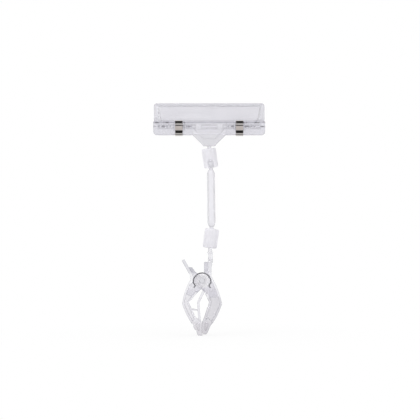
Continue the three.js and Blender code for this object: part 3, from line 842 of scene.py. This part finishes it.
def clipLug():
    s, c = lugSizes, clipSizes
    foot = -c["handleHeight"] - s["below"]
    half, end, corner = s["width"] / 2, s["foot"] / 2, s["corner"]
    shoulder = -c["handleHeight"] - 0.1
    right = [
        at(end - corner, foot), at(end - 0.3 * corner, foot + 0.3 * corner),
        at(end, foot + corner), at(half, shoulder), at(half, 0.4),
    ]
    body = softened(right + mirrored(right), s["soft"])
    block = slab(body, s["step"] - c["ledgeOut"], -c["handleGap"] / 2, s["edge"], 3)
    narrowing = (half - end) / (shoulder - foot - corner)
    slant = math.hypot(1, narrowing)

    def inside(z):
        return min(half - 0.6, half - narrowing * (shoulder - z) - s["rim"] * slant)

    rings = []
    for depth, inset, fall in s["pocketRings"]:
        top, low = -s["pocketDrop"] - fall, foot + s["sole"] + inset
        left = [at(inset * slant - inside(z), z) for z in (top, low)]
        pocket = softened(left + mirrored(left), s["pocketSoft"], 6)
        rings.append([(p.x, s["step"] + depth - c["ledgeOut"], p.y) for p in pocket])
    stud = turned(studProfile(s["neck"] + ballSizes["flare"] / 2))
    middle = c["handleGap"] / 2 + (c["ledgeOut"] - c["handleGap"] / 2) / 2
    rise = s["neck"] + s["below"] + c["handleHeight"]
    placed(stud, (0, -middle, -rise), [("x", math.pi)])
    return [cut(block, [loft(rings)]), stud]


def frontJaw():
    s = clipSizes
    groove = s["bead"] + s["clearance"]
    outer, inner = -s["handleGap"] / 2 - s["small"], -s["clearance"]
    block = fulcrumBlock(outer, inner, groove + s["seatLip"])
    reach = s["beadLength"] / 2 + s["clearance"]
    rim = s["grooveEdge"]
    grooves = [fulcrumRound(groove, x - reach, x + reach, rim, 1) for x in beadPlaces]
    half = reach + s["seatLip"] - firstBead
    seat = cut(slab(block, -half, half, s["lipEdge"], 1, along="x"), grooves)
    turnedHalf = [placed(part, turns=[("z", math.pi)]) for part in jawHalf()]
    return joined(turnedHalf + [seat] + clipLug())


frontPiece = placed(frontJaw(), ledge)
finished(frontPiece, "frontJawMoulding", jawPlastic, "front_jaw")
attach(frontPiece, "clip_front")
rearPiece = placed(rearJaw(), ledge)
finished(rearPiece, "rearJawMoulding", jawPlastic, "rear_jaw")
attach(rearPiece, "clip_rear")


# strip springs, placed at the jaws' ledge
def jawStrip(middle):
    s, c = stripSizes, clipSizes
    grip = c["handleGap"] / 2 + c["handleWall"] + s["clearance"] + s["sheet"] / 2
    belly = grip + s["belly"]
    low = -c["handleHeight"] - s["clearance"] - s["sheet"] / 2
    flareTop = at(grip + s["flare"], s["flare"] - s["grip"])
    waist = at(grip, -s["grip"])
    bellyTop = at(belly, low + s["bendTall"])
    before, after = flareTop.lerp(waist, s["gripFrom"]), waist.lerp(bellyTop, s["gripTo"])
    side = [flareTop.lerp(before, i / 3) for i in range(3)]
    side += curve(before, waist, after, 12)  # the gripping bend
    side += [after.lerp(bellyTop, i / 5) for i in range(1, 5)]
    turn = quarterTurn(16)
    side += [at(belly - s["bend"] * out, low + s["bendTall"] * up) for up, out in turn]
    side.append(at((belly - s["bend"]) * 0.5, low))
    line = wallOn(side + [at(0, low)] + mirrored(side), s["sheet"])
    half = s["width"] / 2
    return slab(line, middle - half, middle + half, s["edge"], along="x")


jawStrips = [("leftJawStrip", "left_jaw_spring", -1), ("rightJawStrip", "right_jaw_spring", 1)]
for name, node, side in jawStrips:
    jawStripPiece = placed(jawStrip(side * stripSizes["span"] / 2), ledge)
    finished(jawStripPiece, name, stripSteel, node, 40)
    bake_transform(jawStripPiece)


# clamp: its outlines are drawn in points to the right of the pivot and above it
clampSizes = {
    "depth": 12, "cheek": 1.5, "rib": 1.4, "edgeRib": 1.2, "web": 2.4, "hub": 3.3, "trunnion": 1.8,
    "inset": 0.2, "disc": 5.4, "elbowOut": 14.3, "elbowDrop": 16.7, "wristOut": 7.6,
    "wristDrop": 30.6, "bow": 0.9, "lowerBow": 0.54, "band": 4.7, "tipDrop": 38.5, "tipHalf": 3.2,
    "tipLonger": 0.9, "tipPocket": 3.4, "toothTop": 29.9, "toothPitch": 2.2, "toothHeight": 1.0,
    "toothCount": 3, "toothGap": 0.42, "finger": 1.7, "fingerKink": 2.7, "strut": 0.9, "leaf": 1.7,
    "leafKink": 5.9, "leverRise": 14.3, "leverOut": 14.6, "lever": 2.0, "leverCheek": 9.6,
    "postOut": 6.8, "post": 2.3, "postRise": 13.3, "postCheek": 5.4, "stemLean": 0.9,
    "stemWide": 3.3, "stemDeep": 4.8, "stemRise": 19.4, "collar": 2.15, "collarHeight": 1.3,
    "collarEdge": 0.3, "stemReach": 26.5, "stemBallOut": 5.8, "clearance": 0.3,
}
wireSizes = {
    "radius": 0.5, "thinner": 0.06, "sides": 20, "cap": 0.12, "capShare": 0.6, "loop": 6.3,
    "drop": 0.9, "bar": 0.7, "barAngle": math.radians(35), "footOut": 5.9, "footDrop": 5.2,
    "start": math.radians(8), "clearance": 0.3, "blendReach": 4,
}
wireRoom = wireSizes["radius"] + wireSizes["clearance"]
barReach = clampSizes["hub"] + wireSizes["bar"] + 2 * wireSizes["clearance"]
pinchReach = barReach + wireSizes["bar"] + wireRoom
waistOut = wireSizes["loop"] + wireRoom + clampSizes["rib"]


def wireLine(count=120):  # smooth through the same points as the solid
    w = wireSizes
    right = [at(w["footOut"], -w["footDrop"]), polar(pinchReach, -w["barAngle"])]
    loop = arc(0, -w["drop"], w["loop"], -w["start"], math.pi + w["start"], 12)
    points = right + loop + mirrored(right)
    last = len(points) - 1
    made = []
    for i in range(count + 1):
        place = min(i / count * last, last - 0.0001)
        k = int(place)
        t = place - k
        p1, p2 = points[k], points[k + 1]
        p0 = points[k - 1] if k else p1 * 2 - p2
        p3 = points[k + 2] if k + 2 <= last else p2 * 2 - p1
        made.append(
            p1 + (p2 - p0) * 0.5 * t + (p0 * 2 - p1 * 5 + p2 * 4 - p3) * 0.5 * t * t
            + (p1 * 3 - p0 - p2 * 3 + p3) * 0.5 * t ** 3
        )
    return made


def alongWire(radius, sides=16, cap=0.0):
    line, section = wireLine(), circle(radius, count=sides)
    rings = []
    for point, beside in zip(line, aside(line, 1.0)):
        out = (beside - point).normalized()
        rings.append([(point.x + out.x * x, y, point.y + out.y * x) for x, y in section])
    if cap:  # rounded wire ends
        ends = []
        for ring, end, before in ((rings[0], line[0], line[1]), (rings[-1], line[-1], line[-2])):
            step = (end - before).normalized() * cap
            middle = Vector((end.x, 0, end.y))
            past = middle + Vector((step.x, 0, step.y))
            ends.append([tuple(past + (Vector(v) - middle) * wireSizes["capShare"]) for v in ring])
        rings = [ends[0]] + rings + [ends[1]]
    return loft(rings)


def armEdge(side, shoulder):
    s = clampSizes
    elbow = at(side * s["elbowOut"], -s["elbowDrop"])
    wrist = at(side * s["wristOut"], -s["wristDrop"])
    upper = bowed(shoulder, elbow, side * s["bow"])
    return upper[:-1] + bowed(elbow, wrist, side * s["lowerBow"])


def toothLine(side):
    s = clampSizes
    points = []
    for i in range(2 * s["toothCount"] + 2):
        swing = (0.5 if i % 2 else -0.5) * s["toothHeight"]
        drop = s["toothTop"] + i * s["toothPitch"] / 2
        points.append(at(side * s["toothGap"] / 2 + swing, -drop))
    return points


def armTip(side, upper, outer, drop):
    s = clampSizes
    teeth = toothLine(side)
    body = upper + [at(side * s["wristOut"], -s["wristDrop"])]
    body += [at(side * p.x, p.y) for p in outer]
    body += [at(teeth[-1].x, -drop)] + list(reversed(teeth))
    pocketFoot = 2.4 - s["tipDrop"]
    pocket = [
        at(side * 2, -s["toothTop"] - 0.6), at(side * (s["wristOut"] - 3), -s["wristDrop"] - 0.7),
        at(side * (s["tipHalf"] - 0.4), pocketFoot), at(side * 2, pocketFoot),
    ]
    block = through(softened(body, 0.3), s["depth"], 0.1)
    pocket = softened(pocket, 0.5, 5)
    return cut(block, pairOfSlabs(pocket, s["depth"] + 2, s["tipPocket"] + 1, 0.1))


def springBar(side, depth):
    w = wireSizes
    place = polar(barReach, -w["barAngle"])
    return through(circle(w["bar"], side * place.x, place.y, 24), depth, 0.05)


def movingArm():
    s = clampSizes
    depth, hub, kink, cheekTop = s["depth"], s["hub"], s["fingerKink"], s["leverCheek"]
    elbow, wrist, wristOut = s["elbowDrop"], s["wristDrop"], s["wristOut"]
    tooth, tip, tipHalf = s["toothTop"], s["tipDrop"], s["tipHalf"]
    tipEnd = tip + s["tipLonger"]
    innerWidth = depth - 2 * (s["cheek"] + s["clearance"])
    waist = at(-waistOut, 0.6)
    edge = armEdge(-1, waist)
    lever = [at(-s["leverOut"], s["leverRise"]), at(-waistOut - 0.35, 4.1), at(-waistOut, 2.6)]
    lever += [waist, edge[2]]
    elbowIn = at(s["band"] - s["elbowOut"], 1 - elbow)
    inner = [
        at(-3.4, -8.6), elbowIn + at(0.35, 0.42), elbowIn + at(0.2, -0.5),
        at(-4.9, 4.2 - wrist), at(-3.4, 1 - wrist),
    ]
    finger = [
        at(0.9, 0.6 - hub), at(1.3, -7.0), at(1.1, -7.9), at(0.35 - kink, 1.9 - elbow),
        at(-kink, 0.7 - elbow), at(0.3 - kink, -elbow - 5.4), at(1 - kink, -tooth - 0.3),
    ]
    strut = [at(elbowIn.x + 1.4, -elbow - 4), at(0.4 - kink, -elbow - 4.5)]
    tipInner = [at(0.4 - kink, 1.5 - tooth), at(-4.9, 4.2 - wrist)]
    tipOuter = [
        at(wristOut - 1.4, -wrist - 0.9), at(wristOut - 1.2, -wrist - 2.4),
        at(tipHalf + 2.1, 3.4 - tip), at(tipHalf + 1, 2.9 - tip),
        at(tipHalf + 0.2, 0.6 - tipEnd), at(tipHalf - 0.6, -tipEnd),
    ]
    cheek = [
        at(0, hub - 0.4), at(-5.1, 6.3), at(-7.2, cheekTop - 0.2), at(-9.4, cheekTop),
        at(-10.9, cheekTop - 0.8), at(0.5 - waistOut, 3.4), *edge[:8],
        at(-6.4, -11.8), at(0.2, -5.1), at(1.4, -2.4),
    ]
    web = [edge[7].lerp(edge[8], 0.3)] + edge[8:]  # starts where the cheeks end
    web += list(reversed(inner[1:])) + [at(-6.5, -11.8)]
    outside = joined([
        through(strip(lever, 0, s["lever"]), depth, 0.3),
        through(strip(edge, 0, s["rib"]), depth, 0.45),
    ])
    return joined([
        cut(outside, [alongWire(wireRoom)]),
        through(strip(inner, 0, -s["edgeRib"]), depth, 0.4),
        through(web, s["web"], 0.05),
        *pairOfSlabs(cheek, innerWidth, s["cheek"], 0.15),
        through(circle(hub), innerWidth, 0.1),
        through(circle(s["trunnion"]), depth - 2 * s["inset"], 0.15),
        springBar(-1, innerWidth),
        through(wallOn(finger, s["finger"]), innerWidth, 0.2),
        through(wallOn(strut, s["strut"]), innerWidth, 0.15),
        armTip(-1, tipInner, tipOuter, tipEnd),
    ])


def fixedArm():
    s = clampSizes
    depth, elbow, tooth, tip = s["depth"], s["elbowDrop"], s["toothTop"], s["tipDrop"]
    post, postRise, stemRise = s["postOut"], s["postRise"], s["stemRise"]
    postIn, cheekIn = post - s["post"], post - s["postCheek"]
    edge = armEdge(1, at(post, 3))
    leaf = [
        at(3.1, -9.4), at(s["leafKink"] - 0.25, 2 - elbow),
        at(s["leafKink"] - 0.1, 0.6 - elbow), at(1.0, -tooth - 0.5),
    ]
    cheek = [
        at(cheekIn, postRise - 0.5), at(cheekIn + 0.5, postRise), at(post - 0.2, postRise),
        at(post - 0.1, 3), *edge[:10], at(5.2, -12.4), at(2.4, -9), at(-1.2, -5.2),
        at(-1.2, 5.2), at(cheekIn, 5.4),
    ]
    right = post + s["stemLean"]
    left = right - s["stemWide"]
    handle = [
        at(postIn, 2), at(post, 2.2), at(post, 9), at(post + 0.15, 10.6),
        at(right - 0.1, postRise - 0.6), at(right, postRise + 0.6), at(right, stemRise),
        at(left, stemRise), at(left, postRise), at(postIn, 10),
    ]
    wide, deep = depth / 2, s["stemDeep"] / 2
    flank = [
        at(wide, 1), at(wide, postRise - 1), at(wide - 0.4, postRise + 0.2),
        at(deep + 0.3, postRise + 2.7), at(deep, postRise + 3.6), at(deep, stemRise),
    ]
    flank = slab(flank + mirrored(flank), 0, 2 * post, 0.02, 1, along="x")
    stem = kept(through(handle, depth, 0.3), flank)
    foot, rim = stemRise - 0.2, s["collarEdge"]
    top = foot + s["collarHeight"]
    collar = [at(0, foot), at(s["collar"], foot)]
    collar += arc(s["collar"] - rim, top - rim, rim, 0, quarter) + [at(0, top)]
    collar = placed(turned(collar), (s["stemBallOut"], 0, 0))
    stud = turned(studProfile(s["stemReach"] - top + ballSizes["flare"] / 2))
    placed(stud, (s["stemBallOut"], 0, s["stemReach"]))
    tipInner = [at(1.8, 1.2 - tooth), at(4.4, 3 - tooth)]
    tipOuter = [
        at(s["wristOut"] - 1.2, -s["wristDrop"] - 1.1),
        at(s["tipHalf"] + 0.6, 1 - tip), at(s["tipHalf"] - 0.2, -tip),
    ]
    arm = joined([through(strip(edge, 0, -s["rib"]), depth, 0.45), stem])
    plates = joined([
        *pairOfSlabs(cheek, depth, s["cheek"], 0.2),
        *pairOfSlabs(circle(s["disc"]), depth, s["cheek"], 0.25),
    ])
    hole = through(circle(s["trunnion"] + s["clearance"]), depth + 2, 0.02)
    web = [edge[9].lerp(edge[10], 0.3)] + edge[10:]
    web += [at(1.4, -tooth), leaf[2], at(4.7, -12.3)]
    return joined([
        cut(arm, [alongWire(wireRoom)]),
        cut(plates, [hole]),
        through(web, s["web"], 0.05),
        through(wallOn(leaf, s["leaf"]), depth, 0.5),
        springBar(1, depth - 0.2),
        armTip(1, tipInner, tipOuter, tip),
        collar, stud,
    ])


fixedPiece = placed(fixedArm(), pivot)
finished(fixedPiece, "fixedArmMoulding", armPlastic, "fixed_arm")
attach(fixedPiece, "clamp_base")
movingPiece = placed(movingArm(), pivot)
finished(movingPiece, "movingArmMoulding", leverPlastic, "moving_arm")
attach(movingPiece, "clamp_lever")

wireRadius = wireSizes["radius"] - wireSizes["thinner"]
wirePiece = placed(alongWire(wireRadius, wireSizes["sides"], wireSizes["cap"]), pivot)
finished(wirePiece, "clampWire", wireSteel, "clamp_spring", 50)
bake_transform(wirePiece)
print("pieces: all placed")


# pale floor, soft studio light and a white room
studio = {
    "floorDrop": 0.0002, "floorSize": 3.0, "floorNear": 0.88, "fadeStart": 0.03, "fadeEnd": 0.15,
    "floorGrain": 6, "floorDeep": 0.87, "floorPale": 0.91,
    "around": 0.88, "softboxes": [  # name, place, power and width
        ("keySoftbox", (-0.75, -0.7, 0.7), 3.6, 0.6), ("fillSoftbox", (0.8, -0.5, 0.4), 1.5, 0.8),
    ],
}


def floorFinish():
    material, tree = newMaterial("paleFloor")
    rays = newNode(tree, "LightPath")
    seen = mathNode(tree, "MAXIMUM", rays["Is Camera Ray"], rays["Is Transmission Ray"])
    fade = newNode(tree, "MapRange", {
        "Value": newNode(tree, "VectorMath", {0: placeNode(tree)}, operation="LENGTH")["Value"],
        "From Min": studio["fadeStart"], "From Max": studio["fadeEnd"],
        "To Min": studio["floorNear"],
    })[0]
    grain = grainNode(tree, studio["floorGrain"], 2)
    colour = fadeNode(tree, grain, studio["floorDeep"], studio["floorPale"])
    matt = newNode(tree, "BsdfDiffuse", {"Color": colour})
    share = mathNode(tree, "MULTIPLY", seen, fade)
    surfaceNode(tree, mixNode(tree, share, matt, newNode(tree, "Emission")))
    return material


size = studio["floorSize"] / mm
corners = [(-size, -size, 0), (size, -size, 0), (size, size, 0), (-size, size, 0)]
floorPiece = solid(corners, [(0, 1, 2, 3)])
floorPiece.name = "paleFloor"
floorPiece.location = (0, 0, cadLow.z - studio["floorDrop"])
floorPiece.data.materials.append(floorFinish())
floorPiece.visible_glossy = False

for name, place, power, width in studio["softboxes"]:
    lampData = bpy.data.lights.new(name, "AREA")
    lampData.energy = power
    lampData.size = width
    lamp = bpy.data.objects.new(name, lampData)
    lamp.location = place
    aim = (cadLow + cadHigh) / 2 - Vector(place)
    lamp.rotation_euler = aim.to_track_quat("-Z", "Y").to_euler()
    lamp.visible_glossy = False
    lamp.visible_transmission = False
    scene.collection.objects.link(lamp)

# metal mirrors grey cards above, a white room that is grey towards the front, and a table that
# is dark in front and white behind; clear plastic shows white, darker to the diagonals and above
roomCards = {
    "above": [
        (0.5, 1), (0.56, (0.85, 0.84, 0.84)), (0.64, (0.62, 0.58, 0.57)),
        (0.9, (0.66, 0.63, 0.62)), (1, 0.9),
    ],
    "level": [(0, 0.52), (0.25, 0.58), (0.4, 0.9), (1, 0.96)],
    "table": [
        (0, 0.02), (0.19, 0.02), (0.25, 0.62), (0.42, 0.62), (0.45, 0.03), (0.55, 0.03),
        (0.6, 0.7), (1, 0.9),
    ],
    "levelFrom": [(0.37, 0), (0.44, 1)], "aboveFrom": [(0.5, 0), (0.56, 1)],
    "diagonals": [(0, 0.7), (0.4, 0.78), (0.8, 1)],
    "ceiling": [(0.58, 1), (0.75, 0.5), (0.9, 0.35)],
}


def whiteRoom():
    room = bpy.data.worlds.new("whiteRoom")
    room.use_nodes = True
    tree = room.node_tree
    tree.nodes.clear()

    def card(name, factor):
        return rampNode(tree, factor, roomCards[name])

    def background(colour=plain, strength=1):
        return newNode(tree, "Background", {"Color": colour, "Strength": strength})

    rays = newNode(tree, "LightPath")
    x, y, z = newNode(tree, "SeparateXYZ", {0: newNode(tree, "TexCoord")["Generated"]})
    back = mathNode(tree, "MULTIPLY_ADD", y, 0.5, 0.5)  # -1 to 1 becomes 0 to 1
    up = mathNode(tree, "MULTIPLY_ADD", z, 0.5, 0.5)
    low = blendNode(tree, card("levelFrom", up), card("table", back), card("level", back))
    metalView = background(blendNode(tree, card("aboveFrom", up), low, card("above", up)))
    squareX, squareY = mathNode(tree, "MULTIPLY", x, x), mathNode(tree, "MULTIPLY", y, y)
    flat = mathNode(tree, "ADD", mathNode(tree, "ADD", squareX, squareY), 0.0001)
    squareOn = mathNode(tree, "DIVIDE", awayNode(tree, squareX, squareY), flat)
    shade = mathNode(tree, "MULTIPLY", card("diagonals", squareOn), card("ceiling", up))
    body = mixNode(tree, rays["Is Transmission Ray"], metalView, background(shade))
    body = mixNode(tree, rays["Is Diffuse Ray"], body, background(strength=studio["around"]))
    body = mixNode(tree, rays["Is Camera Ray"], body, background())
    surfaceNode(tree, body, "OutputWorld")
    room.cycles.sampling_method = "NONE"  # its light comes only through rays that reach it
    return room


scene.world = whiteRoom()
print("studio: lit")
